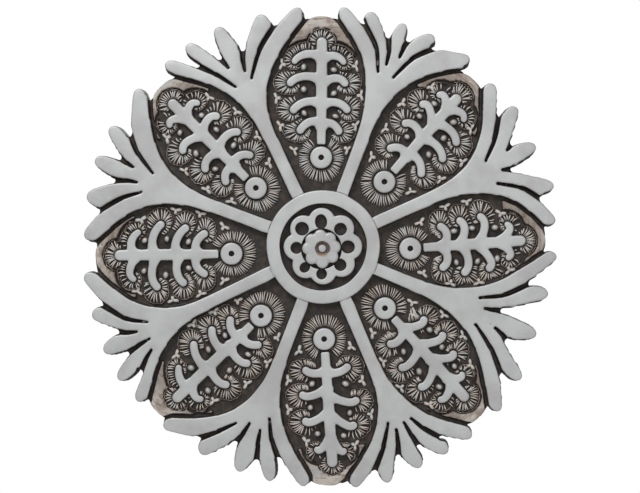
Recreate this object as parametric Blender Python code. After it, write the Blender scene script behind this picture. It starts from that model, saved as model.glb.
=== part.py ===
"""Round wall medallion of fired clay: a ring with a flower, eight fronds of five fingers, and eight petals.

One solid in metres. It hangs upright: the front faces -Y, +Z is up, and the flat back lies on y = 0
with the ring's centre at the origin. The carving is drawn flat, as outlines with a height each, and
every cell between the outlines is then raised to the height of the topmost outline that covers it.
"""

import math

import bmesh
import bpy
from mathutils import Vector
from mathutils.geometry import delaunay_2d_cdt, interpolate_bezier, intersect_line_line_2d

# The reach of the longest fingers. The free carving is drawn in millimetres for a reach of 150.
REACH = 0.150
DRAWN_REACH = 150.0

# Heights above the flat back.
GROUND_THICKNESS = 0.0070
BED_RISE = 0.0012
LIP_RISE = 0.0026
SPRIG_RISE = 0.0042
FROND_RISE = 0.0054
RING_STEP = 0.0004
FLOWER_RISE = 0.0040
ROSETTE_STEP = 0.0012

# The ring at the centre and the fronds' arms.
RING_RADIUS = 0.0354
RING_WIDTH = 0.0078
ARM_WIDTH = 0.0087
FINGER_WIDTH = 0.0098
GROOVE_WIDTH = 0.0012
GATE_WIDTH = 0.0026
WEB_SHORE = 0.0015
UNDERLAP = 0.0020

# The flower inside the ring.
FLOWER_LOBES = 8
LOBE_ORBIT = 0.0165
LOBE_RADIUS = 0.0087
HOLE_RADIUS = 0.0040
ROSETTE_ORBIT = 0.0084
ROSETTE_LOBE_RADIUS = 0.0037
BUTTON_RADIUS = 0.0030
BUTTON_GROOVE = 0.0014

# The sprig in each petal.
EYE_RADIUS = 0.0070
EYE_HOLE_RADIUS = 0.0016
EYE_GAP = 0.0010
HALO_RADIUS = 0.0146
STEM_FOOT_WIDTH = 0.0048
STEM_WIDTH = 0.0058
LEAF_WIDTH = 0.0052
DOT_RADIUS = 0.0022
SCALLOP_RADIUS = 0.0088
TIP_SCALLOP_RADIUS = 0.0092

# Outline points nearer than this are one point.
MERGE_DISTANCE = 0.00002

# Eight fronds, each as its arm's angle and the distance at which the arm starts to spread, two (angle,
# distance) points on its side next to each petal, its five fingers as (angle, reach, share of
# FINGER_WIDTH), and the four grooves between them. A groove is the angle and distance of its narrow end,
# of a point on its way, and of the point where the web between the fingers stops.
FRONDS = (
    (24.4, 78, ((18.6, 104), (13.3, 124)), ((29.9, 104), (36.9, 124)),
     ((6.6, 147.3, 0.90), (15.0, 150.4, 1.00), (25.4, 148.3, 1.00),
      (35.4, 150.3, 0.96), (43.3, 148.5, 1.00)),
     ((20.0, 116.0, 16.7, 130.0, 12.5, 139.5), (23.2, 122.0, 22.9, 124.5, 22.3, 127.5),
      (27.6, 130.0, 28.1, 132.3, 28.6, 134.5), (27.7, 115.0, 32.0, 127.0, 36.8, 137.5))),
    (70.0, 78, ((64.6, 104), (59.1, 124)), ((75.3, 104), (79.2, 124)),
     ((52.8, 151.0, 0.97), (62.8, 150.3, 1.03), (70.0, 149.3, 0.86),
      (78.1, 151.0, 1.00), (84.8, 151.3, 0.95)),
     ((67.4, 114.5, 64.9, 130.0, 61.0, 142.0), (67.9, 127.5, 68.0, 134.5, 67.6, 139.6),
      (70.7, 120.5, 71.3, 130.0, 72.7, 137.5), (72.4, 114.5, 74.9, 130.0, 79.7, 142.5))),
    (115.8, 78, ((109.8, 104), (102.6, 124)), ((120.3, 104), (125.1, 124)),
     ((96.2, 151.5, 1.00), (105.2, 151.5, 1.03), (115.7, 153.3, 1.00),
      (123.7, 153.3, 1.00), (130.2, 152.3, 0.95)),
     ((113.0, 114.3, 108.0, 130.0, 102.2, 142.5), (113.9, 120.0, 113.5, 126.0, 112.2, 133.0),
      (117.8, 126.3, 118.2, 130.5, 118.6, 134.3), (118.5, 113.8, 121.8, 127.0, 124.6, 137.5))),
    (159.8, 76, ((154.2, 104), (148.0, 124)), ((165.1, 104), (170.7, 124)),
     ((140.3, 153.8, 1.00), (151.1, 153.7, 1.00), (159.1, 153.6, 1.02),
      (167.8, 152.3, 1.12), (177.1, 150.7, 1.08)),
     ((156.6, 115.7, 153.3, 130.0, 149.9, 139.5), (157.2, 128.5, 156.9, 134.0, 156.4, 138.5),
      (160.8, 122.9, 161.3, 130.0, 162.4, 137.0), (163.1, 118.5, 166.4, 130.0, 170.9, 142.0))),
    (206.0, 83, ((201.4, 104), (195.8, 124)), ((210.0, 104), (214.3, 124)),
     ((187.6, 151.8, 1.00), (196.8, 151.8, 1.00), (205.5, 153.0, 1.08),
      (212.8, 153.5, 1.00), (219.5, 152.0, 0.95)),
     ((203.2, 119.1, 200.5, 131.0, 194.6, 143.0), (204.5, 127.6, 204.0, 133.0, 202.5, 138.8),
      (207.9, 122.6, 208.1, 131.0, 208.6, 139.0), (210.9, 125.0, 212.5, 132.0, 214.4, 137.8))),
    (249.4, 77, ((244.2, 104), (238.2, 124)), ((255.1, 104), (260.4, 124)),
     ((229.1, 151.8, 0.95), (239.7, 151.5, 1.06), (249.4, 151.2, 1.08),
      (257.0, 151.3, 1.00), (265.3, 151.2, 0.95)),
     ((243.8, 122.6, 240.6, 132.5, 237.2, 142.6), (247.4, 119.3, 247.0, 127.0, 246.0, 133.8),
      (251.0, 120.9, 251.8, 130.5, 252.8, 139.9), (252.6, 112.3, 255.0, 125.0, 258.1, 135.1))),
    (293.0, 82, ((289.2, 104), (284.4, 124)), ((298.0, 104), (302.3, 124)),
     ((277.9, 152.8, 0.96), (285.5, 154.0, 1.00), (293.6, 152.0, 1.08),
      (300.8, 151.8, 1.06), (307.6, 152.2, 1.00)),
     ((290.3, 117.3, 287.2, 130.0, 283.0, 144.0), (291.9, 122.9, 291.2, 131.0, 289.8, 138.8),
      (294.7, 120.7, 295.2, 130.0, 295.6, 138.0), (297.1, 120.5, 299.0, 130.0, 301.6, 140.0))),
    (337.5, 70, ((329.6, 104), (322.8, 124)), ((346.6, 104), (353.7, 124)),
     ((317.4, 151.8, 0.95), (326.4, 150.0, 1.04), (337.4, 145.5, 1.04),
      (348.0, 145.0, 1.02), (357.5, 147.2, 0.90)),
     ((333.1, 106.9, 329.3, 122.0, 324.5, 137.2), (334.8, 118.8, 334.2, 124.5, 332.9, 128.7),
      (339.1, 108.2, 339.7, 114.0, 340.3, 118.5), (341.9, 103.0, 345.0, 118.0, 349.9, 131.2))),
)

# Eight petals, each as the eye's centre, the stem's end, the lip's outermost point, and then the leaves
# left and right of the stem from the eye outwards. A leaf is given by where it leaves the stem and where
# it ends, as shares of the way from the eye to the stem's end, and by how far out it reaches.
PETALS = (
    ((-1.0, 54.7), (1.9, 127.2), (2.2, 140.2),
     ((0.285, 0.275, 12.3), (0.425, 0.445, 15.0), (0.590, 0.625, 16.6), (0.775, 0.850, 10.6)),
     ((0.275, 0.270, 13.2), (0.445, 0.455, 17.3), (0.585, 0.670, 15.7), (0.770, 0.840, 10.0))),
    ((46.7, 56.1), (48.0, 128.0), (48.8, 141.6),
     ((0.290, 0.255, 10.9), (0.495, 0.505, 14.1), (0.645, 0.730, 13.6), (0.820, 0.885, 9.7)),
     ((0.320, 0.265, 14.0), (0.505, 0.485, 17.9), (0.680, 0.670, 17.7), (0.830, 0.865, 11.8))),
    ((91.2, 56.1), (90.3, 131.5), (90.6, 145.2),
     ((0.275, 0.225, 13.2), (0.440, 0.395, 17.5), (0.640, 0.620, 19.5), (0.830, 0.800, 17.0)),
     ((0.260, 0.220, 10.9), (0.430, 0.400, 15.9), (0.610, 0.620, 14.5), (0.810, 0.795, 13.6))),
    ((138.7, 56.0), (136.4, 133.2), (135.8, 143.6),
     ((0.240, 0.210, 10.6), (0.410, 0.400, 14.1), (0.600, 0.635, 15.9), (0.790, 0.855, 10.6)),
     ((0.260, 0.225, 11.8), (0.435, 0.430, 16.4), (0.620, 0.640, 14.1), (0.800, 0.825, 11.4))),
    ((184.2, 57.5), (182.3, 130.8), (182.4, 143.4),
     ((0.280, 0.235, 12.3), (0.435, 0.415, 17.7), (0.635, 0.640, 20.0), (0.805, 0.840, 15.0)),
     ((0.280, 0.230, 12.7), (0.455, 0.390, 16.4), (0.650, 0.600, 18.8), (0.825, 0.795, 14.1))),
    ((227.9, 58.0), (225.9, 134.5), (225.0, 147.2),
     ((0.225, 0.185, 11.8), (0.355, 0.355, 15.2), (0.590, 0.600, 15.5), (0.795, 0.830, 10.9)),
     ((0.245, 0.205, 11.4), (0.410, 0.370, 15.0), (0.610, 0.560, 16.4), (0.830, 0.780, 12.7))),
    ((270.7, 57.7), (272.5, 138.2), (271.8, 150.3),
     ((0.255, 0.230, 13.2), (0.445, 0.495, 17.3), (0.595, 0.685, 14.8), (0.785, 0.880, 7.7)),
     ((0.245, 0.235, 12.7), (0.390, 0.425, 15.7), (0.575, 0.630, 15.0), (0.775, 0.855, 9.1))),
    ((315.3, 54.6), (313.3, 132.1), (312.4, 145.4),
     ((0.225, 0.280, 13.2), (0.405, 0.475, 15.5), (0.555, 0.645, 12.7), (0.760, 0.815, 8.2)),
     ((0.240, 0.245, 12.3), (0.425, 0.450, 16.8), (0.615, 0.670, 15.9), (0.810, 0.850, 12.3))),
)

# The rest of the petal.
LEAF_BOW = 0.0021
DOT_REACH = 0.0096
LIP_START = 0.0130
LIP_SHOULDER = 0.0055
LIP_GAP = 0.0018
HOLLOW_WIDTH = 0.0250
HOLLOW_ENDS = (0.260, 0.800)

# How far the handles of the free curves reach, as shares of the way between their ends.
FINGER_BOW = 0.40
RIM_CROWN = 1.33
RIM_SHOULDER = 0.12
LEAF_HANDLE = 0.67


def millimetres(value):
    """A length of the free carving, at the real reach."""
    return value / DRAWN_REACH * REACH


def polar(angle, distance):
    """The flat point at an angle in degrees and a distance in metres from the ring's centre."""
    return Vector((math.cos(math.radians(angle)), math.sin(math.radians(angle)))) * distance


def drawn(place):
    """The flat point of an (angle, distance) pair of the free carving."""
    angle, distance = place
    return polar(angle, millimetres(distance))


def left_of(direction):
    return Vector((-direction.y, direction.x))


def arc(centre, radius, start, sweep, sides):
    """Points along an arc, both ends included; angles in degrees, anticlockwise for a positive sweep."""
    return [centre + polar(start + sweep * i / sides, radius) for i in range(sides + 1)]


def disc(centre, radius, sides, start=0.0):
    return arc(centre, radius, start, 360.0, sides)[:-1]


def curve(start, start_handle, end_handle, end, sides):
    """Points along a Bezier curve, both ends included."""
    return [p.to_2d() for p in interpolate_bezier(start, start_handle, end_handle, end, sides + 1)]


def smooth_path(places, first_way, last_way, sides):
    """A smooth curve through places with its directions at both ends given, so many sides a piece."""
    ways = [(after - before).normalized() for before, after in zip(places, places[2:])]
    ways = [first_way] + ways + [last_way]
    path = places[:1]
    for near, far, way, next_way in zip(places, places[1:], ways, ways[1:]):
        reach = (far - near).length / 3
        path += curve(near, near + way * reach, far - next_way * reach, far, sides)[1:]
    return path


def angle_of(direction):
    return math.degrees(math.atan2(direction.y, direction.x))


def beside(points, distances):
    """The points of a path moved to its left, each by its own distance."""
    moved = []
    for i, point in enumerate(points):
        before, after = points[max(i - 1, 0)], points[min(i + 1, len(points) - 1)]
        moved.append(point + left_of((after - before).normalized()) * distances[i])
    return moved


def stroke(points, widths, end_sides):
    """The outline of a brush stroke along points, round at its last point and cut square at its first."""
    left = beside(points, [width / 2 for width in widths])
    right = beside(points, [-width / 2 for width in widths])
    heading = angle_of(points[-1] - points[-2])
    end = arc(points[-1], widths[-1] / 2, heading - 90.0, 180.0, end_sides)
    return right[:-1] + end + left[-2::-1]


def fingertip(centre, radius, way, right_gate, left_gate):
    """A finger's round end from its right side to its left, as far as it lies beyond its gates."""
    around = arc(centre, radius, angle_of(way) - 90.0, 180.0, 5)
    gates = [right_gate] * 3 + [left_gate] * 3
    return [place for place, gate in zip(around, gates) if (place - gate).dot(way) > radius / 4]


def finger_edge(bank, end, finger_way):
    """One long side of a finger: along its groove's bank to the gate, then bowed to the round tip."""
    root, middle, gate = bank
    length = (end - gate).length * FINGER_BOW
    handle = (gate - middle).normalized() * length
    return [root, middle] + curve(gate, gate + handle, end - finger_way * length, end, 3)


def frond_parts(frond):
    """A frond's outline, the two petal edges in it, and the webs between its fingers."""
    arm_angle, spread_at, lower_side, upper_side, fingers, grooves = frond
    arm_way = polar(arm_angle, 1.0)
    sides = [[drawn(place) for place in side] for side in (lower_side, upper_side)]
    lines = [[drawn(groove[:2]), drawn(groove[2:4]), drawn(groove[4:])] for groove in grooves]
    between = [sides[0][1]] + [line[1].lerp(line[2], 0.5) for line in lines] + [sides[1][1]]
    halves = [FINGER_WIDTH * share / 2 for _, _, share in fingers]
    tips = [polar(finger[0], millimetres(finger[1]) - half) for finger, half in zip(fingers, halves)]
    ways = [(tip - a.lerp(b, 0.5)).normalized() for tip, a, b in zip(tips, between, between[1:])]
    offsets = [GROOVE_WIDTH / 2, (GROOVE_WIDTH + GATE_WIDTH) / 4, GATE_WIDTH / 2]
    lower_banks = [beside(line, [-offset for offset in offsets]) for line in lines]
    upper_banks = [beside(line, offsets) for line in lines]
    right_gates = [sides[0][1]] + [bank[-1] for bank in upper_banks]
    left_gates = [bank[-1] for bank in lower_banks] + [sides[1][1]]
    ends = [fingertip(*finger) for finger in zip(tips, halves, ways, right_gates, left_gates)]

    edges = []
    for turn, side, end, way in ((-1, sides[0], ends[0][0], ways[0]), (1, sides[1], ends[-1][-1], ways[-1])):
        offset = left_of(arm_way) * turn * ARM_WIDTH / 2
        start = polar(arm_angle, RING_RADIUS - RING_WIDTH / 2) + offset
        spread = polar(arm_angle, millimetres(spread_at)) + offset
        edges.append([start] + smooth_path([spread] + side + [end], arm_way, way, 2))

    outline = edges[0][:-1] + ends[0]
    webs = []
    for i, line in enumerate(lines):
        lower = finger_edge(lower_banks[i], ends[i][-1], ways[i])
        upper = finger_edge(upper_banks[i], ends[i + 1][0], ways[i + 1])
        outline += lower[-2::-1] + upper[:-1] + ends[i + 1]
        start = line[0] - (line[1] - line[0]).normalized() * UNDERLAP
        touches = meetings(lower + ends[i][-2::-1], upper + ends[i + 1][1:])
        webs.append(groove_web(start, lower, upper, line[2:] + touches))
    outline += edges[1][-2::-1]
    return outline, edges, webs


def groove_web(start, lower, upper, stops):
    """The floor between two fingers and some way under them, out to where they part."""
    stop = max(stops, key=lambda place: place.length)
    shore = stop.length + WEB_SHORE
    below = beside(lower, [-UNDERLAP] * len(lower))
    above = beside(upper, [UNDERLAP] * len(upper))
    return [start] + cut_beyond(below, shore) + [stop] + cut_beyond(above, shore)[::-1]


def meetings(path, other):
    """Where two paths cross, in the order of the first one's points."""
    crossings = [intersect_line_line_2d(near, far, before, after)
                 for near, far in zip(path, path[1:]) for before, after in zip(other, other[1:])]
    return [place for place in crossings if place]


def cut_beyond(points, distance):
    """The points up to a distance from the ring's centre, with one more on the line at that distance."""
    kept = [points[0]]
    for near, far in zip(points, points[1:]):
        if far.length > distance:
            return kept + [near.lerp(far, (distance - near.length) / (far.length - near.length))]
        kept.append(far)
    return kept


def petal_floor(lower_edge, upper_edge, lip_place):
    """The sunk floor of a petal, from under one frond to under the next, and its outer edge."""
    lip = drawn(lip_place)
    lower_edge = beside(lower_edge, [-UNDERLAP] * len(lower_edge))
    upper_edge = beside(upper_edge, [UNDERLAP] * len(upper_edge))
    lower_edge = cut_beyond(lower_edge, lip.length - LIP_SHOULDER)
    upper_edge = cut_beyond(upper_edge, lip.length - LIP_SHOULDER)
    start, end = lower_edge[-1], upper_edge[-1]
    chord = end - start
    out = lip.normalized() * ((lip - (start + end) / 2).dot(lip.normalized())) * RIM_CROWN
    shoulder = chord * RIM_SHOULDER
    rim = curve(start, start + out + shoulder, end + out - shoulder, end, 6)
    return lower_edge[:-1] + rim + upper_edge[-2::-1], rim


def sprig_frame(petal):
    """The eye's centre, the way along the stem, and the stem's length from the eye."""
    eye, stem_end = drawn(petal[0]), drawn(petal[1])
    return eye, (stem_end - eye).normalized(), (stem_end - eye).length


def leaf_line(eye, way, length, leaf, side):
    """A leaf's centre line, bowed away from the eye."""
    leaves_at, ends_at, reach = leaf
    start = eye + way * leaves_at * length
    end = eye + way * ends_at * length + left_of(way) * side * millimetres(reach)
    pull = (start + end) / 2 + way * 2 * LEAF_BOW
    return curve(start, start.lerp(pull, LEAF_HANDLE), end.lerp(pull, LEAF_HANDLE), end, 3)


def petal_motifs(petal):
    """The scalloped beds and the sprig of one petal, as (outline, height) in the order they are laid."""
    eye, way, length = sprig_frame(petal)
    bed = GROUND_THICKNESS + BED_RISE
    top = GROUND_THICKNESS + SPRIG_RISE
    stem_end = eye + way * (length - STEM_WIDTH / 2)
    lines, dots = [], []
    for side, leaves in ((1, petal[3]), (-1, petal[4])):
        rank = [leaf_line(eye, way, length, leaf, side) for leaf in leaves]
        for lower, upper in zip(rank, rank[1:]):
            along = ((lower[1] + lower[2] + upper[1] + upper[2]) / 4 - eye).dot(way)
            dots.append(eye + way * along + left_of(way) * side * DOT_REACH)
        lines += rank

    beds = [(disc(eye, HALO_RADIUS, 10), bed)]
    beds += [(disc(line[-1], SCALLOP_RADIUS, 7, angle_of(way)), bed) for line in lines]
    beds.append((disc(stem_end, TIP_SCALLOP_RADIUS, 8, angle_of(way)), bed))
    foot, head = (eye + way * length * share for share in HOLLOW_ENDS)
    half_hollow = left_of(way) * HOLLOW_WIDTH / 2
    hollow = [foot - half_hollow, head - half_hollow, head + half_hollow, foot + half_hollow]

    stem_start = eye + way * (EYE_RADIUS + EYE_GAP)
    sprig = [stroke([stem_start, eye + way * length / 2, stem_end],
                    [STEM_FOOT_WIDTH, STEM_WIDTH, STEM_WIDTH], 4)]
    sprig += [stroke(line, [LEAF_WIDTH] * len(line), 2) for line in lines]
    sprig += [disc(place, DOT_RADIUS, 4, angle_of(way)) for place in dots]
    sprig.append(disc(eye, EYE_RADIUS, 10))
    return (
        beds
        + [(hollow, GROUND_THICKNESS)]
        + [(outline, top) for outline in sprig]
        + [(disc(eye, EYE_HOLE_RADIUS, 5), GROUND_THICKNESS + BED_RISE)]
    )


def flower_motifs():
    """The ring, the sunk floor inside it, the pierced-looking lobes and the rosette."""
    middle = Vector((0.0, 0.0))
    lobe_top = GROUND_THICKNESS + FLOWER_RISE
    rosette_top = lobe_top + ROSETTE_STEP
    step = 360.0 / FLOWER_LOBES
    motifs = [
        (disc(middle, RING_RADIUS, 36), GROUND_THICKNESS + FROND_RISE + RING_STEP),
        (disc(middle, RING_RADIUS - RING_WIDTH, 28), GROUND_THICKNESS),
    ]
    lobes = [disc(middle, LOBE_ORBIT, 16)]
    lobes += [disc(polar(i * step, LOBE_ORBIT), LOBE_RADIUS, 10, i * step) for i in range(FLOWER_LOBES)]
    holes = [disc(polar(i * step, LOBE_ORBIT), HOLE_RADIUS, 6, i * step) for i in range(FLOWER_LOBES)]
    petals = [disc(middle, ROSETTE_ORBIT, 16)]
    petals += [disc(polar(i * step, ROSETTE_ORBIT), ROSETTE_LOBE_RADIUS, 7, i * step)
               for i in range(FLOWER_LOBES)]
    motifs += [(outline, lobe_top) for outline in lobes]
    motifs += [(outline, GROUND_THICKNESS) for outline in holes]
    motifs += [(outline, rosette_top) for outline in petals]
    motifs.append((disc(middle, BUTTON_RADIUS + BUTTON_GROOVE, 10), lobe_top))
    motifs.append((disc(middle, BUTTON_RADIUS, 8), rosette_top))
    return motifs


def medallion_motifs():
    """Every outline of the medallion with its height, in the order they are laid on each other."""
    fronds = [frond_parts(frond) for frond in FRONDS]
    floors, lips, carvings = [], [], []
    for i, petal in enumerate(PETALS):
        lower_edge, upper_edge = fronds[i - 1][1][1], fronds[i][1][0]
        floor, rim = petal_floor(lower_edge, upper_edge, petal[2])
        floors.append((floor, GROUND_THICKNESS))
        lips.append((lip_outline(lower_edge, upper_edge, rim, petal), GROUND_THICKNESS + LIP_RISE))
        carvings += petal_motifs(petal)
    webs = [(web, GROUND_THICKNESS) for frond in fronds for web in frond[2]]
    tops = [(frond[0], GROUND_THICKNESS + FROND_RISE) for frond in fronds]
    return floors + lips + carvings + webs + tops + flower_motifs()


def lip_outline(lower_edge, upper_edge, rim, petal):
    """The raised end of a petal: beyond a line across the stem, clear of the fronds beside it."""
    eye, way, length = sprig_frame(petal)
    foot = eye + way * (length - LIP_START)
    lower = shore_to_rim(beside(lower_edge, [LIP_GAP] * len(lower_edge)), rim, foot, way)
    upper = shore_to_rim(beside(upper_edge, [-LIP_GAP] * len(upper_edge)), rim, foot, way)
    middle = [point for point in rim
              if angle_of(lower[-1]) < near_angle(point, lower[-1]) < near_angle(upper[-1], lower[-1])]
    return lower + middle + upper[::-1]


def near_angle(point, other):
    """A point's angle, in the turn that starts half a turn before another point's."""
    return angle_of(other) + (angle_of(point) - angle_of(other) + 180.0) % 360.0 - 180.0


def shore_to_rim(shore, rim, foot, way):
    """The part of a path between the line across way at foot and the place where it meets the rim."""
    kept = []
    for near, far in zip(shore, shore[1:]):
        near_part, far_part = (near - foot).dot(way), (far - foot).dot(way)
        if near_part < 0.0 < far_part:
            kept.append(near.lerp(far, near_part / (near_part - far_part)))
        met = meetings([near, far], rim)
        if met:
            return kept + met[:1]
        if far_part > 0.0:
            kept.append(far)
    return kept


def flat_sheet(motifs):
    """All outlines merged into one sheet of triangles: its points, and each triangle with its height."""
    points, outlines = [], []
    for outline, _ in motifs:
        outlines.append(list(range(len(points), len(points) + len(outline))))
        points += outline
    places, _, cells, _, _, owners = delaunay_2d_cdt(points, [], outlines, 1, MERGE_DISTANCE)
    heights = [height for _, height in motifs]
    return places, [(cell, heights[max(owner)]) for cell, owner in zip(cells, owners) if owner]


def raised_solid(name, places, cells):
    """The sheet lifted level by level off the flat back, as one closed mesh."""
    solid = bmesh.new()
    corners = [solid.verts.new((place.x, 0.0, place.y)) for place in places]
    height_of = solid.faces.layers.float.new("height")
    for cell, height in cells:
        face = solid.faces.new([corners[i] for i in cell])
        face[height_of] = height
    for vert in [v for v in solid.verts if not v.link_faces]:
        solid.verts.remove(vert)
    top, level = list(solid.faces), 0.0
    for height in sorted({round(height, 6) for _, height in cells}):
        top = [face for face in top if face[height_of] > height - 1e-6]
        lifted = bmesh.ops.extrude_face_region(solid, geom=top)["geom"]
        if level > 0.0:
            bmesh.ops.delete(solid, geom=top, context="FACES")
        top = [item for item in lifted if isinstance(item, bmesh.types.BMFace)]
        moved = {vert for face in top for vert in face.verts}
        bmesh.ops.translate(solid, verts=list(moved), vec=(0.0, level - height, 0.0))
        level = height
    bmesh.ops.recalc_face_normals(solid, faces=solid.faces)
    mesh = bpy.data.meshes.new(name)
    solid.to_mesh(mesh)
    solid.free()
    return mesh


def fired_clay():
    """Dark fired clay under a worn silver-grey paint."""
    material = bpy.data.materials.new("silvered clay")
    material.use_nodes = True
    shader = material.node_tree.nodes["Principled BSDF"]
    shader.inputs["Base Color"].default_value = (0.50, 0.51, 0.50, 1.0)
    shader.inputs["Roughness"].default_value = 0.55
    shader.inputs["Metallic"].default_value = 0.15
    return material


def main():
    for item in list(bpy.data.objects):
        bpy.data.objects.remove(item)
    places, cells = flat_sheet(medallion_motifs())
    mesh = raised_solid("medallion", places, cells)
    mesh.shade_smooth()
    mesh.set_sharp_from_angle(angle=math.radians(40.0))
    mesh.materials.append(fired_clay())
    medallion = bpy.data.objects.new("medallion", mesh)
    bpy.context.scene.collection.objects.link(medallion)


main()
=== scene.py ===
# Wall medallion of carved and silvered clay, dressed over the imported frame
import math
import random

import bmesh
import bpy
from mathutils import Matrix, Vector
from mathutils.bvhtree import BVHTree


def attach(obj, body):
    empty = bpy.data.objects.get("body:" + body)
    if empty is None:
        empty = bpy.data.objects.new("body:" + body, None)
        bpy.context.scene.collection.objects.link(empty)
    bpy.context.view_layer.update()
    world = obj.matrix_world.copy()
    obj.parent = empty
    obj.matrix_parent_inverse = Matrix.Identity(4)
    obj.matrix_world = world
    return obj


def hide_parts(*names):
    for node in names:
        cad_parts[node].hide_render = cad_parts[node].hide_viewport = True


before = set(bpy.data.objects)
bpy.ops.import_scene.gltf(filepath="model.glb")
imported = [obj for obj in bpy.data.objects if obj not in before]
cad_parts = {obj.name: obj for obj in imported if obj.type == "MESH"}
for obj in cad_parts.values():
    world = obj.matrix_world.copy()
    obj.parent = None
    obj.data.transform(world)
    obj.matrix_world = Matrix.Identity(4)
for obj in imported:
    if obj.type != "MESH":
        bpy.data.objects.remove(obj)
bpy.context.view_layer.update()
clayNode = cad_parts["medallion"]
mm = 0.001


# Small helpers for working by hand

def clearSelection():
    if bpy.context.object and bpy.context.object.mode != "OBJECT":
        bpy.ops.object.mode_set(mode="OBJECT")
    bpy.ops.object.select_all(action="DESELECT")


def pick(piece):
    clearSelection()
    piece.select_set(True)
    bpy.context.view_layer.objects.active = piece


def copyPiece(piece, name="copy"):
    twin = piece.copy()
    twin.data = piece.data.copy()
    twin.name = name
    bpy.context.scene.collection.objects.link(twin)
    return twin


def joinPieces(pieces, name):
    clearSelection()
    for piece in pieces:
        piece.select_set(True)
    bpy.context.view_layer.objects.active = pieces[0]
    bpy.ops.object.join()
    joined = bpy.context.object
    joined.name = joined.data.name = name
    return joined


def applyPlace(piece):
    pick(piece)
    bpy.ops.object.transform_apply(location=True, rotation=True, scale=True)


def modify(piece, kind, **settings):
    pick(piece)
    modifier = piece.modifiers.new(kind.title(), kind)
    for setting, value in settings.items():
        setattr(modifier, setting, value)
    bpy.ops.object.modifier_apply(modifier=modifier.name)


def thin(piece, mostTriangles):
    triangles = sum(len(face.vertices) - 2 for face in piece.data.polygons)
    if triangles > mostTriangles:
        modify(piece, "DECIMATE", ratio=mostTriangles / triangles)


def finishPiece(piece, material):
    piece.data.materials.clear()
    piece.data.materials.append(material)
    pick(piece)
    bpy.ops.object.shade_smooth()


# Materials

def newMaterial(name):
    material = bpy.data.materials.new(name)
    material.use_nodes = True
    tree = material.node_tree
    tree.nodes.clear()
    output = tree.nodes.new("ShaderNodeOutputMaterial")
    shader = tree.nodes.new("ShaderNodeBsdfPrincipled")
    tree.links.new(shader.outputs["BSDF"], output.inputs["Surface"])
    return material, tree, shader


def wire(tree, value, socket):
    if isinstance(value, bpy.types.NodeSocket):
        tree.links.new(value, socket)
    else:
        socket.default_value = clayColours[value] if isinstance(value, str) else value


def sums(tree, operation, *values, clamp=False):
    node = tree.nodes.new("ShaderNodeMath")
    node.operation = operation
    node.use_clamp = clamp
    for value, socket in zip(values, node.inputs):
        wire(tree, value, socket)
    return node.outputs[0]


def times(tree, *values):
    return sums(tree, "MULTIPLY", *values)


def plus(tree, *values):
    return sums(tree, "ADD", *values)


def swing(tree, value, strength):
    # A value between 0 and 1 that is made to swing round zero
    return times(tree, sums(tree, "SUBTRACT", value, 0.5), strength)


def ramp(tree, value, low, high, start=0.0, end=1.0):
    node = tree.nodes.new("ShaderNodeMapRange")
    node.interpolation_type = "SMOOTHSTEP"
    wire(tree, value, node.inputs["Value"])
    for name, number in (("From Min", low), ("From Max", high), ("To Min", start), ("To Max", end)):
        wire(tree, number, node.inputs[name])
    return node.outputs["Result"]


def band(tree, value, rise, fall):
    return times(tree, ramp(tree, value, *rise), ramp(tree, value, *fall))


def outFrom(tree, split, x, z):
    # Millimetres out from a spot on the front
    parts = []
    for axis, spot in ((split.outputs["X"], x), (split.outputs["Z"], z)):
        away = sums(tree, "ABSOLUTE", sums(tree, "SUBTRACT", times(tree, axis, 1000.0), spot))
        parts.append(sums(tree, "POWER", away, 2.0))
    return sums(tree, "POWER", plus(tree, *parts), 0.5)


def noise(tree, place, scale, detail=4.0, roughness=0.55, distortion=0.0):
    node = tree.nodes.new("ShaderNodeTexNoise")
    wire(tree, place, node.inputs["Vector"])
    node.inputs["Scale"].default_value = scale
    node.inputs["Detail"].default_value = detail
    node.inputs["Roughness"].default_value = roughness
    node.inputs["Distortion"].default_value = distortion
    return node.outputs["Fac"]


def layColours(tree, colour, *layers):
    # Each layer is how much of it covers what lies below, and its colour
    for share, over in layers:
        node = tree.nodes.new("ShaderNodeMix")
        node.data_type = "RGBA"
        for value, i in ((share, 0), (colour, 6), (over, 7)):
            wire(tree, value, node.inputs[i])
        colour = node.outputs[2]
    return colour


def bump(tree, shader, height, strength, distance):
    node = tree.nodes.new("ShaderNodeBump")
    node.inputs["Strength"].default_value = strength
    node.inputs["Distance"].default_value = distance
    wire(tree, height, node.inputs["Height"])
    tree.links.new(node.outputs["Normal"], shader.inputs["Normal"])


clayColours = {
    "silver": (0.540, 0.550, 0.548, 1),
    "silverShade": (0.440, 0.445, 0.440, 1),
    "patina": (0.020, 0.017, 0.015, 1),
    "patinaBrown": (0.062, 0.042, 0.032, 1),
    "bossDark": (0.105, 0.068, 0.052, 1),
    "bossOrange": (0.300, 0.185, 0.120, 1),
    "lipBrown": (0.230, 0.175, 0.140, 1),
    "lipDeep": (0.150, 0.108, 0.085, 1),
    "lipCream": (0.540, 0.495, 0.445, 1),
    "rawClay": (0.210, 0.150, 0.115, 1),
    "rubbedBrown": (0.190, 0.135, 0.105, 1),
    "rubbedCream": (0.600, 0.540, 0.485, 1),
}


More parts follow.
